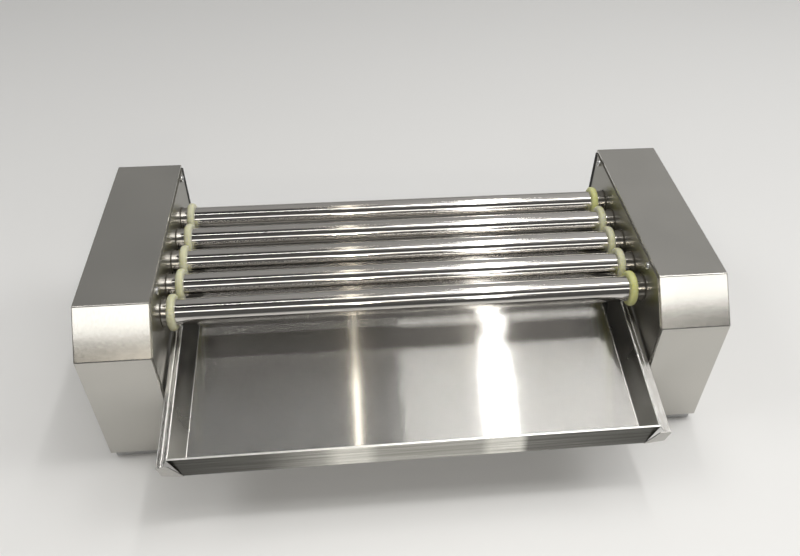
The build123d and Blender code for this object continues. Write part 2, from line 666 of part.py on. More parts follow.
def make_thermostat():
    face = OUTER_X - SHEET
    body = block(face - 26, face, KNOB_Y - 17, KNOB_Y + 17, KNOB_Z - 17, KNOB_Z + 17)
    body = fillet(body.edges().filter_by(Axis.X), 3)
    body += rod_x(4.8, face, OUTER_X, KNOB_Y, KNOB_Z)
    NODES["thermostat_body"] = body - rod_x(3.05, face - 14, OUTER_X + 1, KNOB_Y, KNOB_Z)
    NODES["thermostat_shaft"] = rod_x(3.0, face - 13, OUTER_X + 12, KNOB_Y, KNOB_Z)
    dial = rod_x(DIAL_RADIUS, OUTER_X, OUTER_X + 0.6, KNOB_Y, KNOB_Z)
    NODES["dial_plate"] = dial - rod_x(SPINDLE_HOLE_RADIUS, OUTER_X - 1, OUTER_X + 2, KNOB_Y, KNOB_Z)

    knob_face = OUTER_X + 1.0
    knob = rod_x(KNOB_RADIUS, knob_face, knob_face + 5, KNOB_Y, KNOB_Z)
    grip = rod_x(KNOB_RADIUS - 3, knob_face + 5, knob_face + KNOB_HEIGHT, KNOB_Y, KNOB_Z)
    grip = fillet(grip.edges().sort_by(Axis.X)[-1:], 1.5)
    knob += grip
    for i in range(24):
        angle = math.radians(15 * i)
        y = KNOB_Y + (KNOB_RADIUS - 2.2) * math.cos(angle)
        z = KNOB_Z + (KNOB_RADIUS - 2.2) * math.sin(angle)
        knob -= rod_x(1.3, knob_face + 6.5, knob_face + KNOB_HEIGHT + 1, y, z)
    pointer = block(knob_face + 3, knob_face + KNOB_HEIGHT, KNOB_Y - 1, KNOB_Y + 1, KNOB_Z + 6, KNOB_Z + 16)
    knob += pointer
    NODES["thermostat_knob"] = knob - rod_x(3.0, knob_face - 1, OUTER_X + 12, KNOB_Y, KNOB_Z)


def make_switch():
    face = OUTER_X
    pivot_x = face - 1.0
    bezel = block(face, face + 2, SWITCH_Y - 13, SWITCH_Y + 13, SWITCH_Z - 17, SWITCH_Z + 17)
    bezel = fillet(bezel.edges().filter_by(Axis.X), 2)
    body = block(face - 22, face, SWITCH_Y - 10.8, SWITCH_Y + 10.8, SWITCH_Z - 13.8, SWITCH_Z + 13.8)
    well = block(face - 9, face + 3, SWITCH_Y - 9, SWITCH_Y + 9, SWITCH_Z - 12.5, SWITCH_Z + 12.5)
    pin_hole = rod_y(1.55, SWITCH_Y - 10, SWITCH_Y + 10, pivot_x, SWITCH_Z)
    NODES["switch_housing"] = bezel + body - well - pin_hole

    half = 11.0
    outline = Polygon(
        (pivot_x + 3.6, half), (pivot_x + 2.4, 0), (pivot_x + 3.6, -half),
        (pivot_x - 2.5, -half), (pivot_x - 4.0, 0), (pivot_x - 2.5, half), align=None,
    )
    paddle_plane = Plane(origin=(0, SWITCH_Y - 8.7, SWITCH_Z), x_dir=(1, 0, 0), z_dir=(0, -1, 0))
    paddle = extrude(paddle_plane * outline, 17.4, dir=(0, 1, 0))
    paddle += rod_y(1.5, SWITCH_Y - 9.8, SWITCH_Y + 9.8, pivot_x, SWITCH_Z)
    pivot_axis = Axis((pivot_x, SWITCH_Y, SWITCH_Z), (0, 1, 0))
    NODES["power_rocker"] = paddle.rotate(pivot_axis, -SWITCH_TILT)


def make_lamp():
    body = rod_x(5.9, OUTER_X - 20, OUTER_X, LAMP_Y, LAMP_Z)
    body += rod_x(8.0, OUTER_X, OUTER_X + 1.5, LAMP_Y, LAMP_Z)
    NODES["lamp_body"] = body - rod_x(5.0, OUTER_X - 4, OUTER_X + 2, LAMP_Y, LAMP_Z)
    lens = rod_x(5.0, OUTER_X - 4, OUTER_X + 4, LAMP_Y, LAMP_Z)
    NODES["lamp_lens"] = fillet(lens.edges().sort_by(Axis.X)[-1:], 2.5)


def make_wiring_pieces():
    face = HOUSING_DEPTH
    tip = face + GLAND_LENGTH
    gland = rod_y(7.9, face - GLAND_TAIL, face, GLAND_X, GLAND_Z)
    collar = Plane.XZ.offset(-face) * Pos(GLAND_X, GLAND_Z) * RegularPolygon(11.0, 6)
    gland += extrude(collar, -5)
    cap = rod_y(9.5, face + 5, tip, GLAND_X, GLAND_Z)
    gland += fillet(cap.edges().sort_by(Axis.Y)[-1:], 3)
    gland -= rod_y(GLAND_BORE, face, tip + 1, GLAND_X, GLAND_Z)
    gland -= rod_y(GLAND_INNER_BORE, face - GLAND_TAIL - 1, tip - GLAND_BORE_LENGTH, GLAND_X, GLAND_Z)
    NODES["cable_gland"] = gland
    nut = Plane.XZ.offset(-(face - SHEET - 4)) * Pos(GLAND_X, GLAND_Z) * RegularPolygon(11.0, 6)
    nut = extrude(nut, -4) - rod_y(7.9, face - 8, face, GLAND_X, GLAND_Z)
    NODES["gland_locknut"] = nut

    x_low = TERMINAL_X - TERMINAL_WIDTH / 2
    x_high = TERMINAL_X + TERMINAL_WIDTH / 2
    y_low = TERMINAL_Y - TERMINAL_LENGTH / 2
    y_high = TERMINAL_Y + TERMINAL_LENGTH / 2
    top = BASE_TOP_Z + TERMINAL_HEIGHT
    terminal = block(x_low, x_high, y_low, y_high, BASE_TOP_Z, top)
    for i in range(4):
        y = y_low + 6 + 10.5 * i
        terminal -= rod_z(2.6, top - TERMINAL_HEIGHT / 2, top + 1, TERMINAL_X, y)
        terminal -= rod_x(2.0, x_low - 1, x_high + 1, y, BASE_TOP_Z + 5)
    NODES["terminal_block"] = terminal


def write_parts():
    os.makedirs("parts", exist_ok=True)
    shift = Pos(*ORIGIN_SHIFT)
    boxes = []
    for name, shape in NODES.items():
        placed = shift * shape
        boxes.append(placed.bounding_box())
        export_step(placed, f"parts/{name}.step")
    low = [min(getattr(box.min, axis) for box in boxes) for axis in "XYZ"]
    high = [max(getattr(box.max, axis) for box in boxes) for axis in "XYZ"]
    print("low corner", [round(value, 2) for value in low])
    print("high corner", [round(value, 2) for value in high])
    rod = tray_point(TRAY_ROD_V, TRAY_ROD_W)
    print("tray rod", [round(value, 3) for value in rod])


make_housings()
make_tie_bars()
make_rollers()
make_chain_drive()
make_motor()
make_tray()
make_thermostat()
make_switch()
make_lamp()
make_wiring_pieces()
write_parts()
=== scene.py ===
"""Looks of the hot dog roller grill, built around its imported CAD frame."""

import json
import math

import bmesh
import bpy
from mathutils import Matrix, Vector


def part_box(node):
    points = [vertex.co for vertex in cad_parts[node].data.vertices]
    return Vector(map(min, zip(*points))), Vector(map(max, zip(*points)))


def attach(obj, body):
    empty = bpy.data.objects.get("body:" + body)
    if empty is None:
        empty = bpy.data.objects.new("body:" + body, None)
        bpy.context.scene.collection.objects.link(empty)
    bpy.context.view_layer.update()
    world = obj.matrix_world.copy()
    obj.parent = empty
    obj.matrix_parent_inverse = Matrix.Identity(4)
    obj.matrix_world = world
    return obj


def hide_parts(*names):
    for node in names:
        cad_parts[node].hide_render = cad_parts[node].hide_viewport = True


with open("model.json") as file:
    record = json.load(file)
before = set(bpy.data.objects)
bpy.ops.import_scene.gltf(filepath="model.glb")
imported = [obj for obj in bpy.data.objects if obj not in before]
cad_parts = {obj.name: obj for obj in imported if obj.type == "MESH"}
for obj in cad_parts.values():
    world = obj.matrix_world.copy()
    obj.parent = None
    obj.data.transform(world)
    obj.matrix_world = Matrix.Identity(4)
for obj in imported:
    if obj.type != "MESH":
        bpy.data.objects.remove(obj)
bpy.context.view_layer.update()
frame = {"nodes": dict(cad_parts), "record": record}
nodes = frame["nodes"]
scene = bpy.context.scene
MM = 0.001


# --- Places read from the frame --------------------------------------------------------------

cover_low, cover_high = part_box("left_cover")
right_low, right_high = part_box("right_cover")
MID_X = (cover_low.x + right_high.x) / 2
FRONT_Y = cover_low.y
TOP_Z = cover_high.z
INNER_X = right_low.x - MID_X

TUBE_WALL = 1.0 * MM
TUBE_EDGE = 0.3 * MM
RING_CORNER = 0.0028
RING_CLEARANCE = 0.00002

tray_low, tray_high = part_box("drip_tray")
TRAY_TILT = math.radians(9.7)
RIM_FRONT_Z = 0.082
TRAY_HALF = (tray_high.x - tray_low.x) / 2
FLANGE = 0.009
RIM = TRAY_HALF - FLANGE
FLOOR_HALF = 0.203
TRAY_DEPTH = 0.019
TRAY_LENGTH = 0.205
TRAY_SHEET = 0.0008
FRONT_LEAN = 0.006
BACK_LEAN = 0.003
GROOVE = 0.0042
GROOVE_HALF = 0.0008
HEM_WIDTH = 0.0020
HEM_HEIGHT = 0.0016

# Size of the black strips at the side plates' rear edges, a painted shadow for the gap there.
SHADOW_STRIP_DEPTH = 0.0012
SHADOW_STRIP_LAP = 0.0035
SHADOW_STRIP_REACH = 0.0028


def tray_place(u, v, w):
    """Point on the tray: u to the right, v along its floor to the back, w square to the floor."""
    y = tray_low.y + v * math.cos(TRAY_TILT) - w * math.sin(TRAY_TILT)
    z = RIM_FRONT_Z + v * math.sin(TRAY_TILT) + w * math.cos(TRAY_TILT)
    return Vector((MID_X + u, y, z))


def tube_axis(index):
    """Y and Z of a roller's axis."""
    low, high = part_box(f"roller_tube_{index}")
    return (low.y + high.y) / 2, (low.z + high.z) / 2


# --- Mesh helpers ----------------------------------------------------------------------------

def new_object(name, mesh_data, body, material):
    """Puts finished mesh data into the scene as a piece that rides on a body."""
    piece = bpy.data.objects.new(name, mesh_data)
    scene.collection.objects.link(piece)
    piece.data.materials.append(material)
    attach(piece, body)
    return piece


def mesh_from_faces(name, points, faces):
    data = bpy.data.meshes.new(name)
    data.from_pydata([tuple(point) for point in points], [], faces)
    work = bmesh.new()
    work.from_mesh(data)
    bmesh.ops.remove_doubles(work, verts=work.verts, dist=1e-6)
    bmesh.ops.recalc_face_normals(work, faces=work.faces)
    work.to_mesh(data)
    work.free()
    return data


def smooth(piece, angle=35):
    """Smooth shading that keeps every edge that turns by more than the angle sharp."""
    for polygon in piece.data.polygons:
        polygon.use_smooth = True
    piece.data.set_sharp_from_angle(angle=math.radians(angle))
    return piece


def flat_faces_lead(piece):
    """Keeps large flat faces flat next to their rounded folds."""
    lead = piece.modifiers.new("normals", "WEIGHTED_NORMAL")
    lead.mode = "FACE_AREA"
    lead.weight = 100
    lead.keep_sharp = True
    return piece


def rounded(corners, steps=5):
    """Polyline with its corners rounded; each corner is (a, b, radius)."""
    points = []
    for i, (a, b, radius) in enumerate(corners):
        here = Vector((a, b))
        if radius == 0 or i in (0, len(corners) - 1):
            points.append(tuple(here))
            continue
        before = Vector(corners[i - 1][:2]) - here
        after = Vector(corners[i + 1][:2]) - here
        start = here + before.normalized() * radius
        end = here + after.normalized() * radius
        for step in range(steps + 1):
            t = step / steps
            points.append(tuple((1 - t) ** 2 * start + 2 * t * (1 - t) * here + t ** 2 * end))
    return points


def spin_profile(name, profile, axis_y, axis_z, segments=96):
    """Closed ring about an axis along X, from (x, radius) points in metres."""
    points = []
    faces = []
    count = len(profile)
    for step in range(segments):
        angle = 2 * math.pi * step / segments
        for x, radius in profile:
            points.append((x, axis_y + radius * math.cos(angle), axis_z + radius * math.sin(angle)))
    for step in range(segments):
        following = (step + 1) % segments
        for i in range(count):
            j = (i + 1) % count
            faces.append((step * count + i, step * count + j, following * count + j, following * count + i))
    return mesh_from_faces(name, points, faces)


# --- Material helpers ------------------------------------------------------------------------

class Nodes:
    """Short way to build a node material."""

    def __init__(self, name):
        self.material = bpy.data.materials.new(name)
        self.material.use_nodes = True
        self.tree = self.material.node_tree
        self.shader = self.tree.nodes["Principled BSDF"]

    def add(self, kind, **settings):
        node = self.tree.nodes.new(kind)
        for key, value in settings.items():
            setattr(node, key, value)
        return node

    def link(self, source, target):
        self.tree.links.new(source, target)

    def set(self, **values):
        """Constant sockets of the shader; underscores stand for spaces."""
        for key, value in values.items():
            self.shader.inputs[key.replace("_", " ")].default_value = value

    def noise(self, scale, stretch=(1, 1, 1), detail=3.0, roughness=0.55):
        """Noise in the object's own space, with its grain pulled out along an axis."""
        place = self.add("ShaderNodeTexCoord")
        mapping = self.add("ShaderNodeMapping")
        mapping.inputs["Scale"].default_value = stretch
        self.link(place.outputs["Object"], mapping.inputs["Vector"])
        noise = self.add("ShaderNodeTexNoise")
        noise.inputs["Scale"].default_value = scale
        noise.inputs["Detail"].default_value = detail
        noise.inputs["Roughness"].default_value = roughness
        self.link(mapping.outputs["Vector"], noise.inputs["Vector"])
        return noise.outputs["Fac"]

    def spread(self, source, low, high):
        """Maps noise onto a range of values."""
        node = self.add("ShaderNodeMapRange")
        node.inputs["From Min"].default_value = 0.3
        node.inputs["From Max"].default_value = 0.7
        node.inputs["To Min"].default_value = low
        node.inputs["To Max"].default_value = high
        self.link(source, node.inputs["Value"])
        return node.outputs["Result"]

    def tint(self, source, dark, light):
        """Mixes two colours by noise."""
        ramp = self.add("ShaderNodeValToRGB")
        ramp.color_ramp.elements[0].position = 0.3
        ramp.color_ramp.elements[1].position = 0.7
        ramp.color_ramp.elements[0].color = (*dark, 1)
        ramp.color_ramp.elements[1].color = (*light, 1)
        self.link(source, ramp.inputs["Fac"])
        return ramp.outputs["Color"]

    def bump(self, source, height, strength=1.0):
        bump = self.add("ShaderNodeBump")
        bump.inputs["Distance"].default_value = height
        bump.inputs["Strength"].default_value = strength
        self.link(source, bump.inputs["Height"])
        self.link(bump.outputs["Normal"], self.shader.inputs["Normal"])

    def rub(self, amount):
        """Scatters the normal at random about X, as fine grooves along X do."""
        place = self.add("ShaderNodeTexCoord")
        first = self.add("ShaderNodeTexWhiteNoise", noise_dimensions="3D")
        self.link(place.outputs["Object"], first.inputs["Vector"])
        second = self.add("ShaderNodeTexWhiteNoise", noise_dimensions="4D")
        second.inputs["W"].default_value = 3.7
        self.link(place.outputs["Object"], second.inputs["Vector"])
        total = self.add("ShaderNodeMath", operation="ADD")
        self.link(first.outputs["Value"], total.inputs[0])
        self.link(second.outputs["Value"], total.inputs[1])
        tilt = self.add("ShaderNodeMapRange")
        tilt.inputs["From Max"].default_value = 2.0
        tilt.inputs["To Min"].default_value = -amount
        tilt.inputs["To Max"].default_value = amount
        self.link(total.outputs["Value"], tilt.inputs["Value"])
        surface = self.add("ShaderNodeNewGeometry")
        across = self.add("ShaderNodeVectorMath", operation="CROSS_PRODUCT")
        across.inputs[1].default_value = (1, 0, 0)
        self.link(surface.outputs["Normal"], across.inputs[0])
        scaled = self.add("ShaderNodeVectorMath", operation="SCALE")
        self.link(across.outputs["Vector"], scaled.inputs[0])
        self.link(tilt.outputs["Result"], scaled.inputs["Scale"])
        total_normal = self.add("ShaderNodeVectorMath", operation="ADD")
        self.link(surface.outputs["Normal"], total_normal.inputs[0])
        self.link(scaled.outputs["Vector"], total_normal.inputs[1])
        unit = self.add("ShaderNodeVectorMath", operation="NORMALIZE")
        self.link(total_normal.outputs["Vector"], unit.inputs[0])
        self.link(unit.outputs["Vector"], self.shader.inputs["Normal"])

    def shade_along(self, axis, low, high, stops, pattern):
        """Painted light and shade: base colour that follows grey stops along an object axis, times a fine
        pattern.
        """
        place = self.add("ShaderNodeTexCoord")
        split = self.add("ShaderNodeSeparateXYZ")
        self.link(place.outputs["Object"], split.inputs["Vector"])
        along = self.add("ShaderNodeMapRange")
        along.inputs["From Min"].default_value = low
        along.inputs["From Max"].default_value = high
        self.link(split.outputs[axis], along.inputs["Value"])
        ramp = self.add("ShaderNodeValToRGB")
        while len(ramp.color_ramp.elements) < len(stops):
            ramp.color_ramp.elements.new(0.5)
        for element, (position, value) in zip(ramp.color_ramp.elements, stops):
            element.position = position
            element.color = (value, value * 0.985, value * 0.93, 1)
        self.link(along.outputs["Result"], ramp.inputs["Fac"])
        shade = self.add("ShaderNodeMix", data_type="RGBA", blend_type="MULTIPLY")
        shade.inputs["Factor"].default_value = 1.0
        self.link(ramp.outputs["Color"], shade.inputs["A"])
        self.link(pattern, shade.inputs["B"])
        self.link(shade.outputs["Result"], self.shader.inputs["Base Color"])

    def grain_direction(self, axis="X"):
        """Anisotropic tangent that lies in the plane square to the axis."""
        tangent = self.add("ShaderNodeTangent", direction_type="RADIAL", axis=axis)
        self.link(tangent.outputs["Tangent"], self.shader.inputs["Tangent"])


def metal(name, dark, light, roughness, grain, bump, anisotropy, rotation, scale=60.0):
    """Brushed or polished metal; grain is how far the noise is squeezed along X, Y and Z."""
    made = Nodes(name)
    fine = made.noise(scale, grain, detail=4.0)
    broad = made.noise(9.0, (1, 1, 1), detail=2.0)
    made.set(Metallic=1.0, Anisotropic=anisotropy, Anisotropic_Rotation=rotation)
    made.link(made.tint(broad, dark, light), made.shader.inputs["Base Color"])
    made.link(made.spread(fine, *roughness), made.shader.inputs["Roughness"])
    made.bump(fine, bump)
    made.grain_direction()
    return made.material


def cover_steel():
    return metal("cover_steel", (0.49, 0.48, 0.45), (0.56, 0.545, 0.51), (0.20, 0.25),
                 (3.6, 1, 1), 0.00002, 1.0, 0.25, 250.0)


def plate_steel():
    return metal("plate_steel", (0.26, 0.252, 0.225), (0.32, 0.31, 0.28), (0.29, 0.34),
                 (1, 1, 14), 0.000001, 0.3, 0.0)


def tube_steel():
    return metal("tube_steel", (0.62, 0.60, 0.57), (0.70, 0.68, 0.65), (0.09, 0.11),
                 (20, 1, 1), 0.00000005, 0.5, 0.25, 100.0)


def tray_steel(name, dark, light):
    """Bright steel rubbed along X: sharp across, drawn out from front to back."""
    made = Nodes(name)
    cloud = made.noise(9.0, detail=2.0)
    made.set(Metallic=1.0, Anisotropic=1.0)
    made.link(made.tint(cloud, dark, light), made.shader.inputs["Base Color"])
    made.link(made.spread(made.noise(30.0, (1, 60, 60)), 0.10, 0.13), made.shader.inputs["Roughness"])
    made.rub(0.48)
    made.grain_direction()
    return made.material


def tray_wall_painted_light_and_shade():
    """Brushed steel of the tray's side walls, lighter at the front as painted light and darker towards the
    back, under the rollers, as painted shade.
    """
    made = Nodes("tray_wall_painted_light_and_shade")
    cloud = made.noise(14.0, detail=2.0)
    # Grey stops along Y: painted light at the front, painted shade darkening towards the back under the
    # rollers.
    stops = [(0.0, 0.90), (0.25, 0.62), (0.5, 0.26), (1.0, 0.12)]
    pattern = made.tint(cloud, (0.75, 0.75, 0.74), (1.0, 1.0, 1.0))
    made.shade_along("Y", tray_low.y, tray_high.y, stops, pattern)
    made.set(Metallic=1.0, Anisotropic=0.6)
    made.link(made.spread(cloud, 0.26, 0.34), made.shader.inputs["Roughness"])
    made.grain_direction()
    return made.material


def tray_front_painted_light_and_shade():
    """Two painted highlights in the base colour, and painted shade darkening towards both ends, with coarse
    grain along it.
    """
    made = Nodes("tray_front_painted_light_and_shade")
    grain = made.noise(9.0, (1, 60, 60), detail=5.0)
    # Grey stops along X: two painted highlights where lamps would reflect, painted shade towards both ends.
    stops = [(0.0, 0.11), (0.2, 0.20), (0.31, 0.56), (0.345, 1.0), (0.395, 1.0), (0.42, 0.60),
             (0.62, 0.60), (0.64, 1.0), (0.70, 1.0), (0.715, 0.26), (0.95, 0.16)]
    pattern = made.tint(grain, (0.50, 0.50, 0.48), (1.0, 1.0, 1.0))
    made.shade_along("X", MID_X - TRAY_HALF, MID_X + TRAY_HALF, stops, pattern)
    made.link(made.spread(grain, 0.2, 0.3), made.shader.inputs["Roughness"])
    made.set(Metallic=1.0, Anisotropic=0.9)
    made.bump(grain, 0.00006)
    made.grain_direction()
    return made.material


def plain_metal(name, dark, light, roughness, scale=220.0):
    made = Nodes(name)
    fine = made.noise(scale)
    made.set(Metallic=1.0)
    made.link(made.tint(fine, dark, light), made.shader.inputs["Base Color"])
    made.link(made.spread(fine, *roughness), made.shader.inputs["Roughness"])
    made.bump(fine, 0.00003)
    return made.material


def plastic(name, dark, light, roughness, bump=0.00003, scale=900.0):
    made = Nodes(name)
    fine = made.noise(scale)
    made.link(made.tint(fine, dark, light), made.shader.inputs["Base Color"])
    made.link(made.spread(fine, *roughness), made.shader.inputs["Roughness"])
    made.bump(fine, bump)
    return made.material


def silicone(name, dark, light):
    made = Nodes(name)
    cloud = made.noise(60.0)
    made.link(made.tint(cloud, dark, light), made.shader.inputs["Base Color"])
    made.link(made.spread(cloud, 0.32, 0.45), made.shader.inputs["Roughness"])
    made.set(Subsurface_Weight=0.6, Subsurface_Scale=0.006, IOR=1.41)
    made.shader.inputs["Subsurface Radius"].default_value = (1.0, 0.9, 0.4)
    made.bump(made.noise(700.0), 0.00002)
    return made.material


COVER = cover_steel()
PLATE = plate_steel()
TUBE = tube_steel()
TRAY = tray_steel("tray_steel", (0.50, 0.49, 0.47), (0.55, 0.54, 0.52))
TRAY_WALL_PAINTED_LIGHT_AND_SHADE = tray_wall_painted_light_and_shade()
TRAY_FRONT_PAINTED_LIGHT_AND_SHADE = tray_front_painted_light_and_shade()
SILICONE = silicone("seal_silicone", (0.57, 0.57, 0.385), (0.67, 0.665, 0.49))
GREEN_SILICONE = silicone("green_silicone", (0.59, 0.60, 0.26), (0.69, 0.70, 0.35))
PLATED = plain_metal("plated_steel", (0.42, 0.42, 0.42), (0.52, 0.52, 0.52), (0.35, 0.5))
SCREW = plain_metal("screw_steel", (0.55, 0.55, 0.55), (0.68, 0.68, 0.67), (0.18, 0.3))
GUSSET = plain_metal("gusset_steel", (0.44, 0.43, 0.41), (0.52, 0.51, 0.49), (0.3, 0.4))
# Lighter steel for the tray front's edges: painted highlight lines.
EDGE_PAINTED_HIGHLIGHT = plain_metal("edge_painted_highlight", (0.80, 0.79, 0.76), (0.88, 0.87, 0.84), (0.3, 0.4))
# Black that stands in for the shadow gap behind the side plates' rear edges: painted shadow.
SHADOW_STRIP = plastic("painted_shadow_black", (0.006, 0.006, 0.006), (0.012, 0.012, 0.012), (0.7, 0.8))
RUBBER = plastic("black_rubber", (0.015, 0.015, 0.015), (0.03, 0.03, 0.03), (0.7, 0.85))
NYLON = plastic("slide_nylon", (0.75, 0.73, 0.68), (0.83, 0.81, 0.77), (0.4, 0.5))
BUSHING = plastic("bushing_polymer", (0.06, 0.055, 0.04), (0.10, 0.09, 0.07), (0.3, 0.4))
SHEATH = plain_metal("heater_sheath", (0.22, 0.2, 0.18), (0.34, 0.31, 0.28), (0.35, 0.5))
CERAMIC = plastic("insulator", (0.78, 0.76, 0.70), (0.86, 0.84, 0.80), (0.6, 0.7))
CHAIN = plain_metal("chain_steel", (0.12, 0.115, 0.11), (0.2, 0.19, 0.18), (0.25, 0.4))
MOTOR_BLACK = plastic("motor_black", (0.02, 0.02, 0.02), (0.035, 0.035, 0.035), (0.35, 0.45))
CAST = plain_metal("gearbox_metal", (0.5, 0.5, 0.51), (0.6, 0.6, 0.61), (0.4, 0.55))
CONTROL = plastic("control_black", (0.018, 0.018, 0.018), (0.03, 0.03, 0.03), (0.38, 0.5))
ROCKER = plastic("rocker_red", (0.42, 0.01, 0.01), (0.5, 0.015, 0.012), (0.18, 0.24))
LENS = plastic("lamp_amber", (0.85, 0.25, 0.03), (0.92, 0.33, 0.05), (0.08, 0.12))
DIAL = plain_metal("dial_print", (0.5, 0.5, 0.5), (0.58, 0.58, 0.58), (0.35, 0.42))
TERMINAL = plastic("terminal_plastic", (0.7, 0.67, 0.6), (0.78, 0.75, 0.68), (0.4, 0.5))

BY_SLOT = {
    "brushed_cover": COVER, "polished_plate": PLATE, "polished_tube": TUBE, "tray_steel": TRAY,
    "seal_silicone": SILICONE, "plated_steel": PLATED, "screw_steel": SCREW, "black_rubber": RUBBER,
    "slide_nylon": NYLON, "bushing_polymer": BUSHING, "heater_sheath": SHEATH, "insulator": CERAMIC,
    "chain_steel": CHAIN, "motor_black": MOTOR_BLACK, "gearbox_metal": CAST, "control_black": CONTROL,
    "rocker_red": ROCKER, "lamp_amber": LENS, "dial_print": DIAL, "terminal_plastic": TERMINAL,
}


def paint_cad_nodes():
    """Gives every CAD node the node material of its slot."""
    for entry in frame["record"]["subparts"]:
        node = nodes[entry["node"]]
        node.data.materials.clear()
        node.data.materials.append(BY_SLOT[entry["material_slot"]])


# --- Pieces ----------------------------------------------------------------------------------

def make_tubes():
    """Polished tubes with finely rounded rims."""
    for index in range(1, 6):
        low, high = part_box(f"roller_tube_{index}")
        y, z = tube_axis(index)
        outer = (high.z - low.z) / 2
        inner = outer - TUBE_WALL
        profile = [
            (low.x, inner), (low.x, outer - TUBE_EDGE), (low.x + TUBE_EDGE, outer),
            (high.x - TUBE_EDGE, outer), (high.x, outer - TUBE_EDGE), (high.x, inner),
        ]
        data = spin_profile(f"tube_{index}", profile, y, z, 128)
        piece = new_object(f"tube_{index}", data, f"roller_{index}", TUBE)
        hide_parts(f"roller_tube_{index}")
        smooth(piece)


def ring_profile(x_low, x_high, bore, radius):
    """Rounded section of a soft ring."""
    steps = 8
    angles = [math.pi / 2 * i / steps for i in range(steps + 1)]
    far = [RING_CORNER * (1 - math.cos(angle)) for angle in angles]
    near = [RING_CORNER * (1 - math.sin(angle)) for angle in angles]
    points = [(x_low, bore)]
    points += [(x_low + along, radius - down) for along, down in zip(far, near)]
    points += [(x_high - along, radius - down) for along, down in zip(near, far)]
    points.append((x_high, bore))
    return points


def ring_spans(index):
    """X range of the left and of the right ring of a roller."""
    xs = sorted(vertex.co.x for vertex in nodes[f"seal_rings_{index}"].data.vertices)
    left = [x for x in xs if x < MID_X]
    right = [x for x in xs if x > MID_X]
    return (left[0], left[-1]), (right[0], right[-1])


def make_rings():
    """Soft rings; those at the right ends of the first and last rollers are greener."""
    for index in range(1, 6):
        y, z = tube_axis(index)
        tube_low, tube_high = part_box(f"roller_tube_{index}")
        low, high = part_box(f"seal_rings_{index}")
        bore = (tube_high.z - tube_low.z) / 2 + RING_CLEARANCE
        radius = (high.z - low.z) / 2
        for side, (x_low, x_high) in zip(("left", "right"), ring_spans(index)):
            name = f"{side}_ring_{index}"
            data = spin_profile(name, ring_profile(x_low, x_high, bore, radius), y, z)
            material = GREEN_SILICONE if side == "right" and index in (1, 5) else SILICONE
            piece = new_object(name, data, f"roller_{index}", material)
            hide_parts(f"seal_rings_{index}")
            smooth(piece, 50)


def tray_section():
    """Rounded section of the pan from one rim lip to the other, as (u, w) points."""
    half = rounded([
        (0, -TRAY_DEPTH, 0), (FLOOR_HALF, -TRAY_DEPTH, 0.0008), (RIM, 0, 0.0012),
        (RIM + GROOVE - GROOVE_HALF, 0, 0.0004), (RIM + GROOVE, -0.0005, 0.0003),
        (RIM + GROOVE + GROOVE_HALF, 0, 0.0004),
        (TRAY_HALF, 0, 0.0012), (TRAY_HALF, -0.004, 0),
    ])
    return [(-u, w) for u, w in reversed(half[1:])] + half


def make_tray_pan():
    """Floor, side walls, back wall and flanges folded from one sheet."""
    section = tray_section()
    points = []
    for u, w in section:
        share = max(0, min(1, (w + TRAY_DEPTH) / TRAY_DEPTH))
        on_flange = abs(u) > RIM + 0.0015
        start = 0 if on_flange else TRAY_SHEET + FRONT_LEAN * share
        end = TRAY_LENGTH if on_flange else TRAY_LENGTH - TRAY_SHEET - BACK_LEAN * (1 - share)
        points.append(tray_place(u, start, w))
        points.append(tray_place(u, end, w))
    faces = [(2 * i, 2 * i + 2, 2 * i + 3, 2 * i + 1) for i in range(len(section) - 1)]
    inside = [i for i, (u, w) in enumerate(section) if abs(u) < RIM]
    faces.append([2 * i + 1 for i in inside])
    data = mesh_from_faces("pan", points, faces)
    middle = min(data.polygons, key=lambda face: face.center.z)
    if middle.normal.z < 0:
        data.flip_normals()
    piece = new_object("pan", data, "tray", TRAY)
    # Side walls and the folds at the floor take the wall steel, with its painted light at the front and
    # painted shade towards the back.
    piece.data.materials.append(TRAY_WALL_PAINTED_LIGHT_AND_SHADE)
    for face in piece.data.polygons:
        if abs(face.normal.x) > 0.10 and abs(face.center.x - MID_X) < RIM:
            face.material_index = 1
    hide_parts("drip_tray")
    sheet = piece.modifiers.new("sheet", "SOLIDIFY")
    sheet.thickness = TRAY_SHEET
    sheet.offset = -1
    smooth(piece, 30)
    flat_faces_lead(piece)


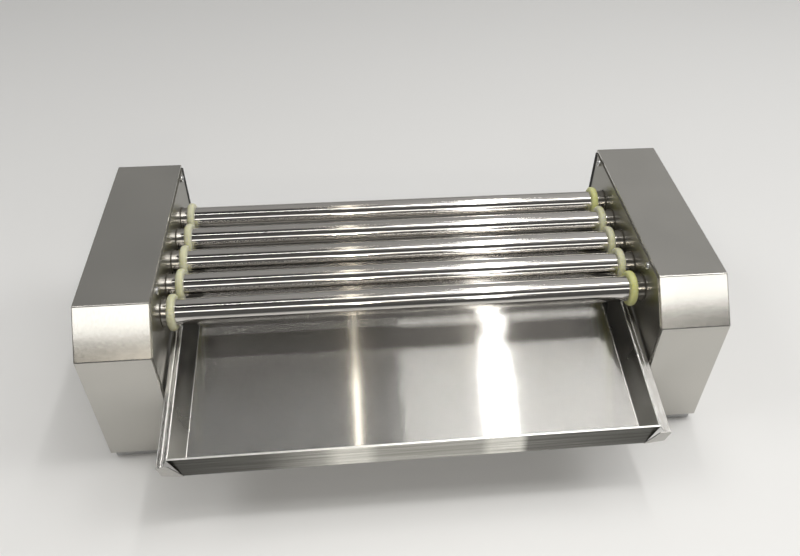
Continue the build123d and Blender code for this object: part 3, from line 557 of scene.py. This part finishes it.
def make_tray_front():
    """Leaning front wall of the pan, with a folded rim and a rounded bottom edge."""
    sheet = TRAY_SHEET
    hem = FRONT_LEAN + HEM_WIDTH
    section = rounded([
        (0.006, -TRAY_DEPTH - sheet, 0), (0, -TRAY_DEPTH - sheet, 0.0016), (FRONT_LEAN, 0, 0.0005),
        (hem, 0, 0.0005), (hem, -HEM_HEIGHT, 0.0003), (FRONT_LEAN + 0.0003, -HEM_HEIGHT - 0.0002, 0.0002),
        (sheet, -TRAY_DEPTH, 0.0016), (0.006, -TRAY_DEPTH, 0),
    ])
    points = []
    for side in (-1, 1):
        for v, w in section:
            half = FLOOR_HALF + sheet + (RIM - FLOOR_HALF) * (w + TRAY_DEPTH) / TRAY_DEPTH
            points.append(tray_place(side * half, v, w))
    count = len(section)
    faces = [(i, (i + 1) % count, count + (i + 1) % count, count + i) for i in range(count)]
    faces += [list(range(count)), list(range(count, 2 * count))]
    data = mesh_from_faces("tray_front", points, faces)
    piece = new_object("tray_front", data, "tray", TRAY_FRONT_PAINTED_LIGHT_AND_SHADE)
    # Top and bottom edge faces take the lighter edge steel: painted highlight lines along the rim and the
    # bottom edge.
    piece.data.materials.append(EDGE_PAINTED_HIGHLIGHT)
    for face in piece.data.polygons:
        painted_low_edge_highlight = face.normal.y < 0 and face.normal.z < -0.45
        if abs(face.normal.x) < 0.5 and (face.normal.z > 0.6 or painted_low_edge_highlight):
            face.material_index = 1
    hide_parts("drip_tray")
    smooth(piece, 40)
    flat_faces_lead(piece)


def make_tray_gussets():
    """Plates that close the corners between the front wall and the flanges."""
    outline = [
        (RIM - 0.001, -0.0002), (TRAY_HALF, -0.0002), (TRAY_HALF - 0.002, -TRAY_DEPTH + 0.003),
        (FLOOR_HALF, -TRAY_DEPTH - TRAY_SHEET),
    ]
    for side, name in ((-1, "left_gusset"), (1, "right_gusset")):
        points = [tray_place(side * u, v, w) for v in (0, TRAY_SHEET) for u, w in outline]
        faces = [(0, 1, 2, 3), (4, 5, 6, 7)] + [(i, (i + 1) % 4, 4 + (i + 1) % 4, 4 + i) for i in range(4)]
        piece = new_object(name, mesh_from_faces(name, points, faces), "tray", GUSSET)
        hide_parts("drip_tray")


def make_plate_shadow_strips():
    """Black strip along each side plate's rear edge: a painted shadow for the gap between plate and cover.
    """
    plate_low, plate_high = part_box("right_side_plate")
    for side, name in ((-1, "left_shadow_strip"), (1, "right_shadow_strip")):
        low_x = MID_X + side * INNER_X
        high_x = MID_X + side * (INNER_X - SHADOW_STRIP_DEPTH)
        corners = [(y, z) for z in (plate_low.z, plate_high.z - 0.001)
                   for y in (plate_high.y - SHADOW_STRIP_LAP, plate_high.y + SHADOW_STRIP_REACH)]
        points = [(x, y, z) for x in (low_x, high_x) for y, z in corners]
        faces = [(0, 1, 3, 2), (4, 5, 7, 6), (0, 1, 5, 4), (2, 3, 7, 6), (0, 2, 6, 4), (1, 3, 7, 5)]
        new_object(name, mesh_from_faces(name, points, faces), "chassis", SHADOW_STRIP)


# --- Stage, lights and camera ----------------------------------------------------------------

def stage_material(name, colour, roughness):
    made = Nodes(name)
    cloud = made.noise(1.2, detail=1.0)
    made.link(made.tint(cloud, [c * 0.985 for c in colour], colour), made.shader.inputs["Base Color"])
    made.set(Roughness=roughness)
    made.shader.inputs["Specular IOR Level"].default_value = 0.35
    return made.material


def make_stage():
    """Pale table that curves up into a backdrop."""
    half_width = 7.0
    front, curve_start, radius, top, steps = -8.0, 2.2, 0.8, 1.1, 16
    profile = [(front, 0.0), (curve_start, 0.0)]
    for i in range(1, steps + 1):
        angle = math.pi / 2 * i / steps
        profile.append((curve_start + radius * math.sin(angle), radius * (1 - math.cos(angle))))
    profile.append((curve_start + radius, top))
    points = [(x, y, z) for y, z in profile for x in (-half_width, half_width)]
    faces = [(2 * i, 2 * i + 1, 2 * i + 3, 2 * i + 2) for i in range(len(profile) - 1)]
    backdrop = bpy.data.objects.new("backdrop", mesh_from_faces("backdrop", points, faces))
    scene.collection.objects.link(backdrop)
    backdrop.data.materials.append(stage_material("stage_white", (0.80, 0.80, 0.795), 0.45))
    for polygon in backdrop.data.polygons:
        polygon.use_smooth = True


AIM_Y = -0.10
AIM_Z = 0.08


def strip_light(name, elevation, distance, x, size, radiance, colour=(1, 1, 1)):
    """Rectangular light that faces the tray, its width along X.

    Its elevation is counted from level in front, over the top.
    """
    angle = math.radians(elevation)
    data = bpy.data.lights.new(name, "AREA")
    data.shape = "RECTANGLE"
    data.size, data.size_y = size
    data.energy = math.pi * size[0] * size[1] * radiance
    data.color = colour
    lamp = bpy.data.objects.new(name, data)
    scene.collection.objects.link(lamp)
    lamp.location = (x, AIM_Y - distance * math.cos(angle), AIM_Z + distance * math.sin(angle))
    lamp.rotation_euler = (math.pi / 2 - angle, 0, 0)
    return lamp


def world_ramp(tree, value, stops):
    """Greys along a direction's left to right share, from -1 to 1."""
    widen = tree.nodes.new("ShaderNodeMapRange")
    widen.inputs["From Min"].default_value = -1.0
    widen.inputs["From Max"].default_value = 1.0
    tree.links.new(value, widen.inputs["Value"])
    ramp = tree.nodes.new("ShaderNodeValToRGB")
    tree.links.new(widen.outputs["Result"], ramp.inputs["Fac"])
    while len(ramp.color_ramp.elements) < len(stops):
        ramp.color_ramp.elements.new(0.5)
    for element, (slope, grey) in zip(ramp.color_ramp.elements, stops):
        element.position = (slope + 1) / 2
        element.color = (grey, grey * 0.99, grey * 0.97, 1)
    return ramp.outputs["Color"]


def world_blend(tree, value, low, high, near, far):
    """Goes from one colour to another as the value goes from low to high."""
    share = tree.nodes.new("ShaderNodeMapRange")
    share.inputs["From Min"].default_value = low
    share.inputs["From Max"].default_value = high
    tree.links.new(value, share.inputs["Value"])
    mix = tree.nodes.new("ShaderNodeMix")
    mix.data_type = "RGBA"
    tree.links.new(share.outputs["Result"], mix.inputs["Factor"])
    tree.links.new(near, mix.inputs["A"])
    tree.links.new(far, mix.inputs["B"])
    return mix.outputs["Result"]


def make_world():
    """Dark room in front, dim left and pale right overhead, and middle greys at the back."""
    world = bpy.data.worlds.new("studio")
    world.use_nodes = True
    tree = world.node_tree
    place = tree.nodes.new("ShaderNodeTexCoord")
    split = tree.nodes.new("ShaderNodeSeparateXYZ")
    tree.links.new(place.outputs["Generated"], split.inputs["Vector"])
    x = split.outputs["X"]
    y = split.outputs["Y"]
    front = world_ramp(tree, x, [(-1.0, 0.10), (1.0, 0.10)])
    above = world_ramp(tree, x, [(-1.0, 0.20), (-0.3, 0.02), (-0.16, 0.02), (0.035, 0.16),
                                 (0.05, 0.48), (0.28, 0.55), (0.50, 0.50), (1.0, 0.15)])
    behind = world_ramp(tree, x, [(-1.0, 0.30), (-0.3, 0.33), (0.0, 0.38), (0.5, 0.60), (1.0, 0.30)])
    forward = world_blend(tree, y, -0.45, -0.15, front, above)
    colour = world_blend(tree, y, 0.20, 0.42, forward, behind)
    background = tree.nodes["Background"]
    tree.links.new(colour, background.inputs["Color"])
    background.inputs["Strength"].default_value = 1.0
    scene.world = world


def make_lights():
    """Lamps over and before the tray, each with its elevation, distance, x, size and radiance."""
    make_world()
    warm = (1.0, 0.92, 0.78)
    cool = (1.0, 0.99, 0.97)
    strip_light("overhead", 100, 1.9, 0.42, (0.082, 1.5), 18, cool)
    strip_light("right_sheet", 93, 1.8, 0.805, (1.45, 0.2), 6.5, cool)
    strip_light("left_fill", 95, 1.9, -1.6, (1.0, 1.2), 3.8, cool)
    strip_light("right_fill", 95, 1.9, 1.9, (1.0, 1.2), 5.0, cool)
    strip_light("streak", 102, 1.9, -0.067, (0.010, 1.5), 11, warm)
    strip_light("tube_line", 90, 1.7, 0.1, (1.8, 0.045), 8, cool)
    strip_light("front_line", 47.9, 0.95, 0.0, (2.4, 0.12), 2.4, cool)
    strip_light("flash", 42, 0.73, -0.06, (0.03, 0.03), 200, warm)
    strip_light("front_window", 38, 1.0, 0.24, (0.05, 0.3), 12, cool)


def make_camera():
    """Camera placed from the housings: offsets are from the middle of their top front edges."""
    data = bpy.data.cameras.new("camera")
    data.sensor_width = 36.0
    data.lens = 34.50
    data.shift_x = -0.02625
    data.shift_y = -0.00875
    data.clip_start = 0.05
    camera = bpy.data.objects.new("camera", data)
    scene.collection.objects.link(camera)
    camera.location = (MID_X - 0.0505, FRONT_Y - 0.4557, TOP_Z + 0.4618)
    yaw = math.radians(6.80)
    pitch = math.radians(-41.85)
    roll = math.radians(1.71)
    forward = Vector((math.sin(yaw) * math.cos(pitch), math.cos(yaw) * math.cos(pitch), math.sin(pitch)))
    level = Vector((math.cos(yaw), -math.sin(yaw), 0))
    upright = level.cross(forward)
    right = math.cos(roll) * level + math.sin(roll) * upright
    up = -math.sin(roll) * level + math.cos(roll) * upright
    turn = Matrix((right, up, -forward)).transposed()
    camera.rotation_euler = turn.to_euler()
    scene.camera = camera


scene.view_settings.view_transform = "Standard"
make_camera()
make_stage()
make_lights()
paint_cad_nodes()
make_tubes()
make_rings()
make_tray_pan()
make_tray_front()
make_tray_gussets()
make_plate_shadow_strips()
